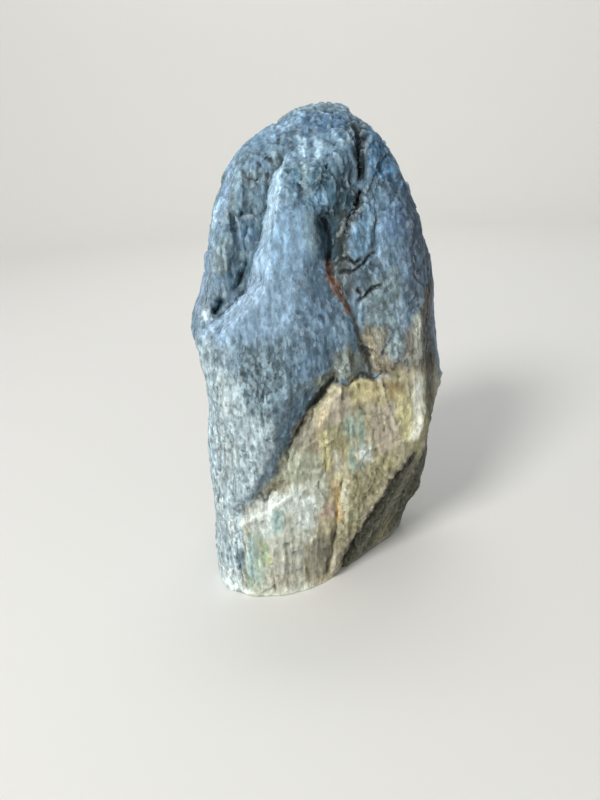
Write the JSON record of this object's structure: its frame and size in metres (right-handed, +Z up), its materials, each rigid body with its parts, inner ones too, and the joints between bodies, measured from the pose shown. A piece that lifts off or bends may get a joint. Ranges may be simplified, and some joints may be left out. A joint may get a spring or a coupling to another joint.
{
  "type": "raw soapstone block",
  "caption": "Rough upright block of raw soapstone with broken faces, a scooped hollow high on one side, a cleft down the front and an ochre ledge over its undercut foot.",
  "frame": {"origin": "middle of the stone's bounding box in plan, on the flat base it stands on", "axes": "+Z up the stone, -Y out of its front with the cleft and the ochre ledge, +X to the right of that front"},
  "size_m": [0.121, 0.1, 0.215],
  "materials": {
    "soapstone": "rough broken stone, blue-grey with pale streaks, ochre and mint low on the front, dull with a faint greasy sheen"
  },
  "bodies": {
    "root": {"soapstone_block": "soapstone"}
  },
  "joints": []
}
